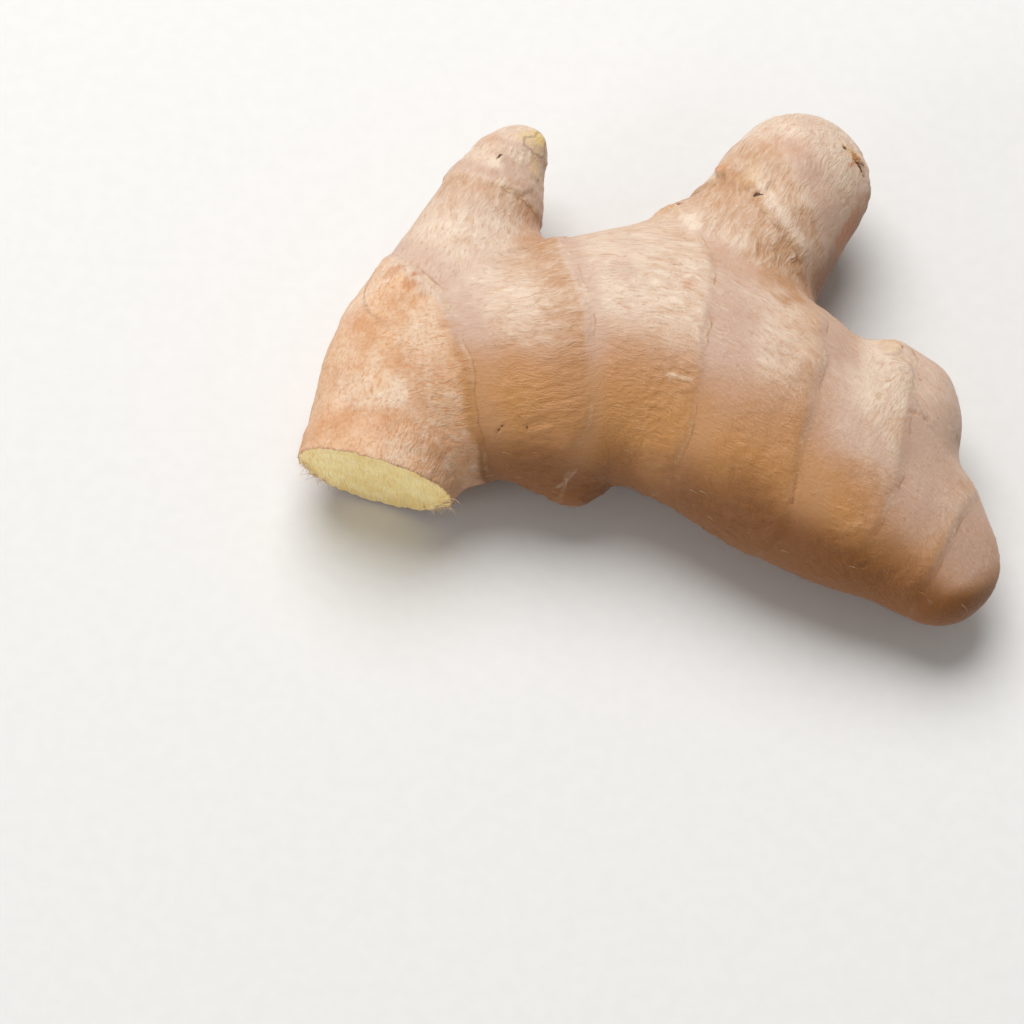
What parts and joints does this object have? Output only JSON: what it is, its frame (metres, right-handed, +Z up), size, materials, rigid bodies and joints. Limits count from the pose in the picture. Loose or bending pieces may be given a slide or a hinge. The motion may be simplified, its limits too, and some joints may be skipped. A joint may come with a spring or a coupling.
{
  "type": "ginger root",
  "caption": "Piece of fresh ginger root lying flat, with a broad ringed body, a knife-cut old stub, tall rounded fingers and a knobby young end.",
  "frame": {"origin": "on the surface that the root lies on, under the middle of its box", "axes": "+X from the knife-cut stub towards the youngest end, +Y towards the tips of the tall fingers, +Z up"},
  "size_m": [0.1252, 0.1018, 0.0339],
  "materials": {
    "ginger_skin": "thin pale tan skin with fine lengthwise fibres and a soft satin sheen; pale yellow flesh where the stub is cut"
  },
  "bodies": {
    "root": {"ginger_rhizome": "ginger_skin"}
  },
  "joints": []
}
